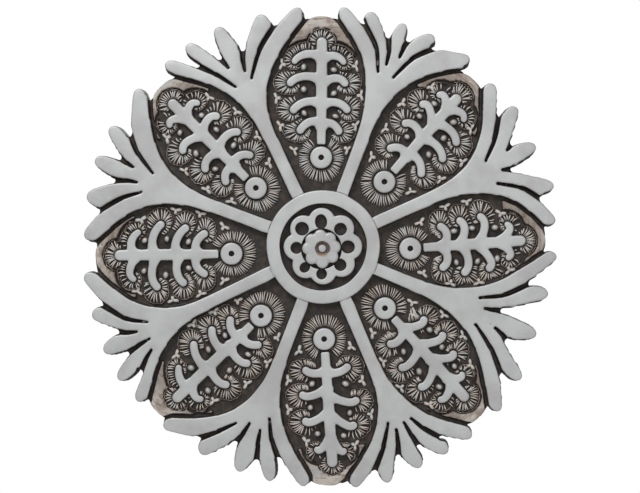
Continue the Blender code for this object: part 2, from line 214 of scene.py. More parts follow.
paintLimits = {
    "topFacing": (0.38, 0.80),          # how squarely a face looks at the viewer, from bare to painted
    "behindFacing": (-0.55, -0.80),
    "silverHeight": (9.9, 10.6),        # millimetres off the wall, from bare to silvered
    "lipHeight": (8.2, 9.1),
    "lipInner": (143, 132),             # millimetres from the centre, where the lips turn deeper brown
    "pitRadius": (0.050, 0.028),
    "pitChance": (0.86, 0.90),
    "bossPlace": (-0.2, -1.1),
    "bossRing": ((2.2, 2.8), (5.6, 4.0)),
    "bossLow": (-0.0030, -0.0045),
    "seam": ((35.35, 35.60), (36.15, 35.85)),
    "slit": ((2.70, 2.72), (2.84, 2.82)),       # radians round the centre, where the seam stands open
}


def silveredClay():
    material, tree, shader = newMaterial("silvered clay")
    coords = tree.nodes.new("ShaderNodeTexCoord")
    place = coords.outputs["Object"]
    split = tree.nodes.new("ShaderNodeSeparateXYZ")
    tree.links.new(place, split.inputs[0])
    facingSplit = tree.nodes.new("ShaderNodeSeparateXYZ")
    tree.links.new(coords.outputs["Normal"], facingSplit.inputs[0])
    height = times(tree, split.outputs["Y"], -1000.0)           # millimetres off the wall
    facing = times(tree, facingSplit.outputs["Y"], -1.0)        # 1 for a face that looks at the viewer
    fromCentre = outFrom(tree, split, 0.0, 0.0)
    turn = sums(tree, "ARCTAN2", split.outputs["Z"], split.outputs["X"])

    fine = noise(tree, place, 1400, 5)
    medium = noise(tree, place, 260, 4)
    broad = noise(tree, place, 45, 3)
    edgeNoise = swing(tree, medium, 0.5)
    onTop = ramp(tree, plus(tree, facing, edgeNoise), *paintLimits["topFacing"])
    raised = ramp(tree, plus(tree, height, times(tree, edgeNoise, 1.2)), *paintLimits["silverHeight"])
    silvered = times(tree, onTop, raised)

    # The lips at the petals' ends stand lower and are rubbed back to brown and cream, streaked along
    # the rim
    lipRaised = sums(tree, "SUBTRACT", ramp(tree, height, *paintLimits["lipHeight"]), raised, clamp=True)
    lipTop = times(tree, onTop, lipRaised)
    polar = tree.nodes.new("ShaderNodeCombineXYZ")
    wire(tree, times(tree, fromCentre, 0.52), polar.inputs[0])
    wire(tree, times(tree, turn, 14.0), polar.inputs[1])
    streaks = noise(tree, polar.outputs[0], 1.0, 5, 0.62, 0.5)
    streaks = plus(tree, times(tree, streaks, 0.7), times(tree, medium, 0.3))
    worn = noise(tree, place, 85, 4, 0.6, 0.3)
    inner = plus(tree, fromCentre, times(tree, edgeNoise, 14.0))
    lipColour = layColours(tree, "lipBrown",
                           (ramp(tree, streaks, 0.38, 0.56), "lipCream"),
                           (ramp(tree, worn, 0.52, 0.64, 0.0, 0.65), "lipBrown"),
                           (ramp(tree, worn, 0.47, 0.36, 0.0, 0.70), "silverShade"),
                           (ramp(tree, inner, *paintLimits["lipInner"], 0.0, 0.55), "lipDeep"))

    # Small dark pits left in the paint
    pits = tree.nodes.new("ShaderNodeTexVoronoi")
    pits.inputs["Scale"].default_value = 95
    pits.inputs["Randomness"].default_value = 1.0
    tree.links.new(place, pits.inputs["Vector"])
    chance = tree.nodes.new("ShaderNodeSeparateColor")
    tree.links.new(pits.outputs["Color"], chance.inputs[0])
    pitted = times(tree, ramp(tree, pits.outputs["Distance"], *paintLimits["pitRadius"]),
                   ramp(tree, chance.outputs[0], *paintLimits["pitChance"]))
    silver = layColours(tree, "silver",
                        (ramp(tree, broad, 0.35, 0.70), "silverShade"),
                        (ramp(tree, fine, 0.60, 0.85, 0.0, 0.35), "silverShade"),
                        (times(tree, pitted, 0.75), "patinaBrown"))

    # Dark patina in the sunk ground, browner in places, and bare clay behind
    ground = layColours(tree, "patina",
                        (ramp(tree, medium, 0.42, 0.72), "patinaBrown"))
    bareClay = layColours(tree, "rawClay",
                          (ramp(tree, medium, 0.35, 0.7), "rubbedBrown"))

    # Brown left round the boss, and the thin seam between the arms and the centre ring
    fromBoss = plus(tree, outFrom(tree, split, *paintLimits["bossPlace"]), times(tree, edgeNoise, 5.0))
    ringed = band(tree, fromBoss, *paintLimits["bossRing"])
    low = ramp(tree, split.outputs["Z"], *paintLimits["bossLow"])
    bossBrown = layColours(tree, "bossDark", (low, "bossOrange"))
    patches = ramp(tree, noise(tree, place, 70, 3), 0.40, 0.56, 0.10, 0.75)
    opened = sums(tree, "MAXIMUM", band(tree, turn, *paintLimits["slit"]), patches)
    seam = times(tree, band(tree, fromCentre, *paintLimits["seam"]), opened)

    colour = layColours(tree, ground, (lipTop, lipColour), (silvered, silver),
                        (times(tree, ringed, 0.85), bossBrown), (seam, "patinaBrown"),
                        (ramp(tree, facing, *paintLimits["behindFacing"]), bareClay))
    tree.links.new(colour, shader.inputs["Base Color"])
    tree.links.new(times(tree, silvered, 0.35), shader.inputs["Metallic"])
    clayRoughness = plus(tree, 0.60, times(tree, medium, 0.12))
    tree.links.new(plus(tree, times(tree, silvered, -0.16), clayRoughness), shader.inputs["Roughness"])
    grain = plus(tree, times(tree, fine, 0.35), times(tree, medium, 0.65))
    grain = sums(tree, "SUBTRACT", grain, times(tree, pitted, 0.8))
    bump(tree, shader, grain, 0.45, 0.00035)
    return material


def hatchedClay():
    material, tree, shader = newMaterial("hatched clay")
    coords = tree.nodes.new("ShaderNodeTexCoord")
    place = coords.outputs["Object"]
    rub = tree.nodes.new("ShaderNodeAttribute")
    rub.attribute_name = "rub"
    tone = tree.nodes.new("ShaderNodeAttribute")
    tone.attribute_name = "tone"
    fine = noise(tree, place, 1100, 4)
    medium = noise(tree, place, 120, 3)
    worn = plus(tree, rub.outputs["Fac"], swing(tree, fine, 0.7))
    worn = plus(tree, worn, swing(tree, medium, 0.9))
    worn = plus(tree, worn, swing(tree, tone.outputs["Fac"], 0.7))
    colour = layColours(tree, "patina",
                        (ramp(tree, worn, 0.12, 0.50), "rubbedBrown"),
                        (ramp(tree, worn, 0.42, 0.86), "rubbedCream"),
                        (ramp(tree, worn, 0.85, 1.25, 0.0, 0.8), "silver"))
    tree.links.new(colour, shader.inputs["Base Color"])
    shader.inputs["Roughness"].default_value = 0.55
    bump(tree, shader, fine, 0.4, 0.0002)
    return material


silverFinish = silveredClay()
hatchFinish = hatchedClay()
print("materials made")


# The clay body: a softened copy of the frame with sloping sides. The sprigs, their beds and the
# flower are pared down to the ground, and made again below. Heights are millimetres off the wall.

bodySizes = {
    "ground": 7.0,
    "newHeights": {8.2: 7.0, 11.0: 7.0, 11.2: 7.0, 12.2: 7.0, 12.8: 12.2},
    "heightSlack": 0.04,        # how far a corner may stand off such a height and still be moved
    "slopedTops": (9.6, 12.4),
    "topSlack": 0.03,
    "lipSkin": (7.2, 10.4),     # heights between which a lip is pressed down in a pocket
    "planGrid": 0.02 * mm,      # corners nearer than this stand over one another
    "sharpTurn": math.radians(52),      # an outline keeps a corner that turns more
    "spans": (1.5, 4.5),        # corners between spans of these lengths, mm, go from fixed to free
    "longSpan": 2.2 * mm,       # longer edges are halved, three times over
    "rootTurn": 1.05,           # radians; two such corners close together are a groove's root
    "rootSpan": 2 * mm,
    "rootDraw": 0.40,
    "rounding": 8,
    "grooveSlope": 0.55,
    "rimSlope": 1.25,
    "tipSlope": 0.30,
    "shadedWideSide": (0.6, -0.8),    # the sides slope widest toward the lower right, so more dark wall shows there as painted shade from a light at the upper left
    "tightest": 0.6,
    "voxel": 0.50 * mm,
    "softening": 5,
    "mostTriangles": 190000,
}


def flat(point):
    return Vector((point.x, point.z))


def planKey(point):
    return round(point.x / bodySizes["planGrid"]), round(point.z / bodySizes["planGrid"])


def isWall(face):
    return abs(face.normal.y) < 0.1


def onSlopedTop(corner):
    height = -corner.co.y / mm
    return min(abs(height - top) for top in bodySizes["slopedTops"]) <= bodySizes["topSlack"]


def rimLinks(shape):
    # The outlines of the sloped tops, as each place's neighbours
    links = {}
    for edge in shape.edges:
        if len(edge.link_faces) != 2 or sum(isWall(face) for face in edge.link_faces) != 1:
            continue
        if not onSlopedTop(edge.verts[0]):
            continue
        a, b = (planKey(corner.co) for corner in edge.verts)
        if a != b:
            links.setdefault(a, set()).add(b)
            links.setdefault(b, set()).add(a)
    return links


def outlineFreedom(places, links):
    # How freely each corner of an outline may move, and how hard it turns
    freedom, bends = {}, {}
    low, high = bodySizes["spans"]
    for key, others in links.items():
        if len(others) != 2:
            freedom[key] = bends[key] = 0.0
            continue
        spans = [places[other] - places[key] for other in others]
        bends[key] = math.pi - spans[0].angle(spans[1])
        shortest = min(span.length for span in spans) / mm
        sharp = bends[key] > bodySizes["sharpTurn"]
        freedom[key] = 0.0 if sharp else max(0.0, min(1.0, (shortest - low) / (high - low)))
    return freedom, bends


def drawRoots(shape, places, links, bends):
    # A groove ends in two hard corners, which are drawn nearer to each other and stay there
    drawn = {}
    for key, others in links.items():
        for other in others:
            hard = min(bends[key], bends[other]) > bodySizes["rootTurn"]
            if hard and (places[key] - places[other]).length < bodySizes["rootSpan"]:
                drawn[key] = places[key].lerp((places[key] + places[other]) / 2, bodySizes["rootDraw"])
    for corner in shape.verts:
        if planKey(corner.co) in drawn:
            corner.co.x, corner.co.z = drawn[planKey(corner.co)]
    return {planKey(Vector((spot.x, 0.0, spot.y))): 0.0 for spot in drawn.values()}


def roundOutlines(piece):
    shape = bmesh.new()
    shape.from_mesh(piece.data)
    shape.normal_update()
    places = {planKey(corner.co): flat(corner.co) for corner in shape.verts}
    links = rimLinks(shape)
    freedom, bends = outlineFreedom(places, links)
    freedom.update(drawRoots(shape, places, links, bends))
    for turn in range(3):
        shape.normal_update()
        longOnes = [edge for edge in shape.edges if any(isWall(face) for face in edge.link_faces)
                    and (edge.verts[0].co - edge.verts[1].co).xz.length > bodySizes["longSpan"]]
        bmesh.ops.subdivide_edges(shape, edges=longOnes, cuts=1)
    shape.normal_update()
    places = {planKey(corner.co): flat(corner.co) for corner in shape.verts}
    links = rimLinks(shape)
    free = {key: freedom.get(key, 1.0) for key in links if len(links[key]) == 2}
    for turn in range(bodySizes["rounding"]):
        moved = {}
        for key, share in free.items():
            a, b = links[key]
            moved[key] = places[key].lerp((places[a] + places[b]) / 2, 0.5 * share)
        places.update(moved)
    for corner in shape.verts:
        corner.co.x, corner.co.z = places[planKey(corner.co)]
    shape.to_mesh(piece.data)
    shape.free()


def slopeSides(piece):
    # The tops' corners move inward, furthest at the outer rim and least at the fingers' tips
    shape = bmesh.new()
    shape.from_mesh(piece.data)
    shape.normal_update()
    moves = []
    for corner in shape.verts:
        if not onSlopedTop(corner):
            continue
        walls = []
        for face in corner.link_faces:
            outward = flat(face.normal)
            if outward.length > 0.9:
                outward.normalize()
                if all(outward.dot(wall) < 0.999 for wall in walls):
                    walls.append(outward)
        outward = sum(walls, Vector((0.0, 0.0)))
        if outward.length < 0.1:
            continue
        outward.normalize()
        tightness = max(bodySizes["tightest"], min(outward.dot(wall) for wall in walls))
        # Painted shade: the dark walls are made wider on the lower right side, as if in shade from a light
        # at the upper left
        away = 0.5 + 0.5 * outward.dot(Vector(bodySizes["shadedWideSide"]))
        slope = bodySizes["grooveSlope"] * (0.6 + 0.8 * away)
        if heightAt(corner.co + Vector((outward.x, 0.0, outward.y)) * 1.1 * mm) < 1:
            endOn = max(0.0, outward.dot(flat(corner.co).normalized())) ** 2
            slope = bodySizes["rimSlope"] * (1 - endOn) + bodySizes["tipSlope"] * endOn
            slope *= 0.25 + away
        shift = outward * (-slope * mm / tightness)
        moves.append((corner, Vector((shift.x, 0.0, shift.y))))
    for corner, shift in moves:
        corner.co += shift
    shape.to_mesh(piece.data)
    shape.free()


def makeBody():
    body = copyPiece(clayNode, "medallion_body")
    body.parent = None
    for key in list(body.keys()):
        del body[key]
    pick(body)
    bpy.ops.object.mode_set(mode="EDIT")
    bpy.ops.mesh.select_all(action="SELECT")
    bpy.ops.mesh.remove_doubles(threshold=0.000002)
    bpy.ops.mesh.normals_make_consistent(inside=False)
    bpy.ops.object.mode_set(mode="OBJECT")
    roundOutlines(body)
    slopeSides(body)
    for corner in body.data.vertices:
        for height, newHeight in bodySizes["newHeights"].items():
            if abs(-corner.co.y / mm - height) < bodySizes["heightSlack"]:
                corner.co.y = -newHeight * mm
    modify(body, "REMESH", mode="VOXEL", voxel_size=bodySizes["voxel"], use_smooth_shade=True)
    print("body remeshed to", len(body.data.polygons), "faces")
    pressPockets(body)
    modify(body, "SMOOTH", factor=0.5, iterations=bodySizes["softening"])
    thin(body, bodySizes["mostTriangles"])
    body.data.validate()
    finishPiece(body, silverFinish)
    return body


# The carving tools, one unit to the millimetre: a puck that is pressed along a line, a fine ridge and a
# pearl

def makePuck(name, radius, height, roundness=0.9, sides=28):
    clearSelection()
    bpy.ops.mesh.primitive_cylinder_add(vertices=sides, radius=radius, depth=height,
                                        location=(0, 0, height / 2))
    puck = bpy.context.object
    puck.name = name
    applyPlace(puck)
    for corner in puck.data.vertices:
        if corner.co.z < height / 2:
            corner.co.x *= 1 + 0.35 / radius
            corner.co.y *= 1 + 0.35 / radius
    rim = puck.data.attributes.new("bevel_weight_edge", "FLOAT", "EDGE")
    for edge in puck.data.edges:
        low = min(puck.data.vertices[i].co.z for i in edge.vertices)
        rim.data[edge.index].value = 1.0 if low > height / 2 else 0.0
    modify(puck, "BEVEL", width=roundness, segments=3, limit_method="WEIGHT")
    return puck


def makeRidge(name):
    clearSelection()
    bpy.ops.mesh.primitive_cube_add(size=1, location=(0.5, 0, 0.5))
    ridge = bpy.context.object
    ridge.name = name
    applyPlace(ridge)
    bpy.ops.object.mode_set(mode="EDIT")
    bpy.ops.mesh.select_all(action="SELECT")
    bpy.ops.mesh.subdivide(number_cuts=2)
    bpy.ops.object.mode_set(mode="OBJECT")
    worn = ridge.data.attributes.new("rub", "FLOAT", "POINT")
    ridge.data.attributes.new("tone", "FLOAT", "POINT")
    for corner in ridge.data.vertices:
        along, across, up = corner.co
        worn.data[corner.index].value = up ** 0.8
        inward = 1 - 0.38 * up
        endTaper = (0.66 + 0.34 * along) * (1 - 0.40 * abs(2 * along - 1) ** 4)
        corner.co.y = across * inward * endTaper
        corner.co.z = up * (1 - 0.30 * abs(2 * along - 1) ** 2)
        corner.co.x = 0.5 + (along - 0.5) * (1 - 0.12 * up)
    pick(ridge)
    bpy.ops.object.shade_smooth()
    return ridge


def makePearl(name):
    clearSelection()
    bpy.ops.mesh.primitive_uv_sphere_add(segments=16, ring_count=10, radius=1, location=(0, 0, 0))
    pearl = bpy.context.object
    pearl.name = name
    return pearl


# The eight petals in millimetres. Each is the eye's centre, the stem's end, then the leaves left and
# right of the stem (where it leaves the stem and where it ends, as shares of the way from the eye to the
# stem's end, and how far out it reaches), and the pearls left and right (distance out, share).

petals = (
    ((-1.0, 54.7), (1.9, 127.2),
     ((0.285, 0.275, 12.3), (0.425, 0.445, 15.0), (0.590, 0.625, 16.6), (0.775, 0.850, 10.6)),
     ((0.275, 0.270, 13.2), (0.445, 0.455, 17.3), (0.585, 0.670, 15.7), (0.770, 0.840, 10.0)),
     ((9.0, 0.385), (10.0, 0.546), (9.4, 0.743)), ((10.6, 0.389), (10.9, 0.571), (10.0, 0.743))),
    ((46.7, 56.1), (48.0, 128.0),
     ((0.290, 0.255, 10.9), (0.495, 0.505, 14.1), (0.645, 0.730, 13.6), (0.820, 0.885, 9.7)),
     ((0.320, 0.265, 14.0), (0.505, 0.485, 17.9), (0.680, 0.670, 17.7), (0.830, 0.865, 11.8)),
     ((7.7, 0.427), (10.5, 0.633), (8.6, 0.800)), ((9.7, 0.434), (10.0, 0.626), (8.2, 0.788))),
    ((91.2, 56.1), (90.3, 131.5),
     ((0.275, 0.225, 13.2), (0.440, 0.395, 17.5), (0.640, 0.620, 19.5), (0.830, 0.800, 17.0)),
     ((0.260, 0.220, 10.9), (0.430, 0.400, 15.9), (0.610, 0.620, 14.5), (0.810, 0.795, 13.6)),
     ((10.8, 0.369), (11.2, 0.567), (11.4, 0.752)), ((8.8, 0.345), (7.7, 0.535), (7.5, 0.730))),
    ((138.7, 56.0), (136.4, 133.2),
     ((0.240, 0.210, 10.6), (0.410, 0.400, 14.1), (0.600, 0.635, 15.9), (0.790, 0.855, 10.6)),
     ((0.260, 0.225, 11.8), (0.435, 0.430, 16.4), (0.620, 0.640, 14.1), (0.800, 0.825, 11.4)),
     ((9.7, 0.342), (11.4, 0.542), (9.5, 0.753)), ((8.8, 0.374), (8.2, 0.565), (7.9, 0.730))),
    ((184.2, 57.5), (182.3, 130.8),
     ((0.280, 0.235, 12.3), (0.435, 0.415, 17.7), (0.635, 0.640, 20.0), (0.805, 0.840, 15.0)),
     ((0.280, 0.230, 12.7), (0.455, 0.390, 16.4), (0.650, 0.600, 18.8), (0.825, 0.795, 14.1)),
     ((8.6, 0.367), (12.7, 0.565), (10.0, 0.751)), ((7.9, 0.367), (9.8, 0.550), (9.1, 0.741))),
    ((227.9, 58.0), (225.9, 134.5),
     ((0.225, 0.185, 11.8), (0.355, 0.355, 15.2), (0.590, 0.600, 15.5), (0.795, 0.830, 10.9)),
     ((0.245, 0.205, 11.4), (0.410, 0.370, 15.0), (0.610, 0.560, 16.4), (0.830, 0.780, 12.7)),
     ((11.8, 0.298), (10.6, 0.499), (10.3, 0.740)), ((7.0, 0.324), (7.9, 0.503), (7.3, 0.709))),
    ((270.7, 57.7), (272.5, 138.2),
     ((0.255, 0.230, 13.2), (0.445, 0.495, 17.3), (0.595, 0.685, 14.8), (0.785, 0.880, 7.7)),
     ((0.245, 0.235, 12.7), (0.390, 0.425, 15.7), (0.575, 0.630, 15.0), (0.775, 0.855, 9.1)),
     ((11.5, 0.359), (12.9, 0.587), (8.2, 0.760)), ((9.4, 0.343), (11.4, 0.525), (8.0, 0.731))),
    ((315.3, 54.6), (313.3, 132.1),
     ((0.225, 0.280, 13.2), (0.405, 0.475, 15.5), (0.555, 0.645, 12.7), (0.760, 0.815, 8.2)),
     ((0.240, 0.245, 12.3), (0.425, 0.450, 16.8), (0.615, 0.670, 15.9), (0.810, 0.850, 12.3)),
     ((11.8, 0.372), (10.3, 0.540), (8.2, 0.724)), ((9.5, 0.362), (10.5, 0.566), (7.5, 0.766))),
)

sprigSizes = {
    "foot": 6.4,            # height where a raised piece starts, under the ground's 7.0
    "top": 11.1,
    "eyeRadius": 7.0,
    "eyeHole": 1.7,
    "stemWidths": (5.7, 7.3, 6.8),      # at the eye, halfway and at the end
    "leafWidth": 5.4,
    "leafRoot": 2.6,        # wider by this where a leaf grows from the stem
    "leafBows": (2.0, 1.9, 2.15, 1.9, 2.15, 1.5, 1.2, 1.3),     # petal by petal
    "tipThinning": (0.3, 0.3, 0.3, 1.3),        # narrower by this at a leaf's end, leaf by leaf
    "step": 0.9,
    "pearlRadius": 2.3,
    "voxel": 0.36 * mm,
    "mostTriangles": 17000,
}


def onWall(angle, distance):
    return Vector((math.cos(math.radians(angle)), math.sin(math.radians(angle)))) * distance


class PetalFrame:
    # Sideways and along the stem, from the eye, in millimetres
    def __init__(self, petal):
        self.eye, stemEnd = onWall(*petal[0]), onWall(*petal[1])
        self.length = (stemEnd - self.eye).length
        self.bow = sprigSizes["leafBows"][petals.index(petal)]
        self.way = (stemEnd - self.eye).normalized()
        self.stemEnd = Vector((0, self.length - sprigSizes["stemWidths"][2] / 2))
        sideways = Vector((self.way.y, -self.way.x))
        self.place = Matrix((
            (sideways.x * mm, self.way.x * mm, 0, self.eye.x * mm),
            (0, 0, -mm, 0),
            (sideways.y * mm, self.way.y * mm, 0, self.eye.y * mm),
            (0, 0, 0, 1)))

    def atWall(self, spot, height):
        return self.place @ Vector((spot.x, spot.y, height))

    def leaf(self, leaf, side):
        leavesAt, endsAt, reach = leaf
        start = Vector((0.0, leavesAt * self.length))
        end = Vector((side * reach, endsAt * self.length))
        rising = start + Vector((side * reach * 0.35, 1.9 * self.bow))
        falling = end + Vector((-side * reach * 0.20, 2.2 * self.bow))
        return [bezierPoint(start, rising, falling, end, i / 12) for i in range(13)]

    def leaves(self, petal):
        return [[self.leaf(leaf, side) for leaf in petal[2 + k]] for k, side in ((0, -1), (1, 1))]


def bezierPoint(a, b, c, d, t):
    s = 1 - t
    return a * s ** 3 + b * 3 * s * s * t + c * 3 * s * t * t + d * t ** 3


def stamp(template, matrix, tone=None):
    twin = copyPiece(template, "stamp")
    twin.data.transform(matrix)
    if tone is not None:
        attribute = twin.data.attributes["tone"]
        attribute.data.foreach_set("value", [tone] * len(twin.data.vertices))
    return twin


def alongPath(points, step):
    spots = [points[0]]
    left = step
    for near, far in zip(points, points[1:]):
        length = (far - near).length
        while left <= length:
            spots.append(near.lerp(far, left / length))
            left += step
        left -= length
    return spots + [points[-1]]


def makeSprig(number, petal, puck, pearl):
    place = PetalFrame(petal)
    stamps = []

    def press(spot, width):
        wider = width / sprigSizes["leafWidth"]
        centre = Matrix.Translation((spot.x, spot.y, sprigSizes["foot"]))
        stamps.append(stamp(puck, place.place @ centre @ Matrix.Diagonal((wider, wider, 1, 1))))

    footWidth, midWidth, endWidth = sprigSizes["stemWidths"]
    stemStart = Vector((0, sprigSizes["eyeRadius"] + 1.0 + footWidth / 2))
    spots = alongPath([stemStart, place.stemEnd], sprigSizes["step"])
    for i, spot in enumerate(spots):
        share = i / (len(spots) - 1) * 2
        press(spot, footWidth + (midWidth - footWidth) * min(1.0, share)
              + (endWidth - midWidth) * max(0.0, share - 1))
    for side in (-1, 1):
        press(Vector((side * (footWidth / 2 - 1.4), sprigSizes["eyeRadius"] + 2.4)), 2.8)
    for rank in place.leaves(petal):
        for j, line in enumerate(rank):
            spots = alongPath(line, sprigSizes["step"])
            for i, spot in enumerate(spots):
                share = i / (len(spots) - 1)
                width = sprigSizes["leafWidth"] + sprigSizes["leafRoot"] * max(0.0, 1 - share / 0.36)
                press(spot, width - sprigSizes["tipThinning"][j] * max(0.0, share * 2 - 1))
    sprig = joinPieces(stamps, "sprig_%d" % number)
    modify(sprig, "REMESH", mode="VOXEL", voxel_size=sprigSizes["voxel"], use_smooth_shade=True)
    modify(sprig, "SMOOTH", factor=0.5, iterations=4)
    thin(sprig, sprigSizes["mostTriangles"])
    extras = [stampEye(place)]
    for side, row in ((-1, petal[4]), (1, petal[5])):
        for out, share in row:
            radius = sprigSizes["pearlRadius"]
            centre = Matrix.Translation((side * out, share * place.length, 8.4))
            turn = Matrix.Rotation(random.uniform(0, 3), 4, "Z")
            size = (radius * random.uniform(1.0, 1.2), radius * random.uniform(0.85, 1.0), 2.3, 1)
            extras.append(stamp(pearl, place.place @ centre @ turn @ Matrix.Diagonal(size)))
    sprig = joinPieces([sprig] + extras, "sprig_%d" % number)
    finishPiece(sprig, silverFinish)
    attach(sprig, "root")
    return sprig


def stampEye(place):
    return stamp(eyeTemplate, place.place @ Matrix.Rotation(random.uniform(0, 3), 4, "Z"))


def makeEye():
    eye = makePuck("eye", sprigSizes["eyeRadius"], sprigSizes["top"] - sprigSizes["foot"], 1.0, 48)
    for corner in eye.data.vertices:
        corner.co.z += sprigSizes["foot"]
    clearSelection()
    bpy.ops.mesh.primitive_cylinder_add(vertices=20, radius=sprigSizes["eyeHole"], depth=8,
                                        location=(0, 0, 12))
    drill = bpy.context.object
    applyPlace(drill)
    modify(eye, "BOOLEAN", operation="DIFFERENCE", object=drill, solver="EXACT")
    bpy.data.objects.remove(drill)
    modify(eye, "REMESH", mode="VOXEL", voxel_size=0.3, use_smooth_shade=True)
    modify(eye, "SMOOTH", factor=0.5, iterations=4)
    thin(eye, 3000)
    return eye


# Where the hatching goes. The pockets it fills are also pressed into the body's lips.

frameLevels = {"ground": (6.5, 9.0), "lip": (9.0, 10.0), "sprig": (11.0, 11.5)}
topLeaf = 3
hatchSizes = {
    "foot": 6.9,
    "top": 8.9,
    "ridgeWidth": 1.15,
    "pitch": 1.36,
    "closer": 0.84,         # share of the pitch on straight runs
    "shortenings": (1.0, 0.88, 0.76, 0.64, 0.52, 0.40, 0.30),   # tried in turn until a ridge fits
    "leafGap": 0.35,        # between a leaf and its ridges
    "pearlGap": 0.7,
    "beadGap": 0.35,        # from the ridges' ends to the bead round a fan
    "fan": (10.5, 8.8, 6.8),            # a fan's radius outward, upward and downward
    "topFan": (6.5, 8.5, 4.5),
    "backs": ((5.0, 40.0), (5.0, 3.6), (5.0, 3.6), (40.0, 3.6)),    # how far a leaf is hatched back, above
                                                                    # and below, leaf by leaf
    "tipInsets": (0.15, 0.15, 0.15, 0.65),
    "stemFanRadii": (10.0, 10.7, 8.6, 9.4, 10.0, 8.2, 8.2, 10.0),
    "pocketGap": 1.0,       # groove left between a fan and the lip
    "haloInner": 7.6,
    "haloOuter": 14.3,
    "haloLow": 15.9,
    "haloRidges": 56,
    "haloGap": 1.0,         # left free between the halo and the fans
    "fanGap": 1.1,          # left dark between one fan and the next
    "frondGap": 1.6,
    "innerReach": 9.0,      # longest ridges, from the first leaf down to the halo
    "footRings": (13.0, 13.0, 13.0, 8.2),       # rings round the leaf ends; crow's feet stand where two meet
    "toes": ((1, 0.25, 4.3, 2.4), (-1, 0.25, 4.3, 2.4), (0, -1, 3.3, 2.5)),     # along, out, length, width
}


def wallHeights():
    corners = [clayNode.matrix_world @ corner.co for corner in clayNode.data.vertices]
    faces = [tuple(face.vertices) for face in clayNode.data.polygons]
    tree = BVHTree.FromPolygons(corners, faces)

    def heightAt(point):
        hit = tree.ray_cast(Vector((point.x, -0.05, point.z)), Vector((0, 1, 0)))[0]
        return -hit.y / mm if hit else 0.0

    return heightAt


heightAt = wallHeights()


def distanceToLine(spot, line):
    nearest = 1e9
    for a, b in zip(line, line[1:]):
        span = b - a
        share = max(0.0, min(1.0, (spot - a).dot(span) / span.length_squared))
        nearest = min(nearest, (spot - a - span * share).length)
    return nearest


def isAt(height, level):
    low, high = frameLevels[level]
    return low < height < high


def fanRadius(way, side, j):
    outward, upward, downward = hatchSizes["topFan" if j == topLeaf else "fan"]
    share = max(0.0, way.x * side) ** 2
    return outward * share + (upward if way.y > 0 else downward) * (1 - share)


def inPocket(place, petal, number, spot):
    gap = hatchSizes["pocketGap"]
    stemTip = [place.stemEnd * 0.8, place.stemEnd]
    if distanceToLine(spot, stemTip) < hatchSizes["stemFanRadii"][number] + gap:
        return True
    for rank, side in zip(place.leaves(petal), (-1, 1)):
        for j, line in enumerate(rank):
            away = spot - line[-1]
            if away.length < fanRadius(away.normalized(), side, j) + gap:
                return True
        if spot.x * side > 0 and distanceToLine(spot, rank[topLeaf]) < hatchSizes["topFan"][1] + gap:
            return True
    return False


def pressPockets(body):
    # The pockets' hatched ends are pressed into the lips, round where the frame has few sides
    places = [PetalFrame(petal) for petal in petals]
    backs = [place.place.inverted() for place in places]
    low, high = bodySizes["lipSkin"]
    for corner in body.data.vertices:
        if low < -corner.co.y / mm < high and isAt(heightAt(corner.co), "lip"):
            turn = math.degrees(math.atan2(corner.co.z, corner.co.x))
            number = round(turn / 45) % 8
            spot = backs[number] @ corner.co
            if inPocket(places[number], petals[number], number, Vector((spot.x, spot.y))):
                corner.co.y = -bodySizes["ground"] * mm


# The body and the sprigs are made here, now that the petals' places and pockets are known

body = makeBody()
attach(body, "root")
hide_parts("medallion")
print("body has", len(body.data.polygons), "faces")

random.seed(11)
puckTemplate = makePuck("puck", sprigSizes["leafWidth"] / 2, sprigSizes["top"] - sprigSizes["foot"])
eyeTemplate = makeEye()
pearlTemplate = makePearl("pearl")
for number, petal in enumerate(petals):
    makeSprig(number + 1, petal, puckTemplate, pearlTemplate)
print("sprigs carved")


# The hatching: ridges that fan out round every leaf, stem end and eye, and crow's feet between the fans

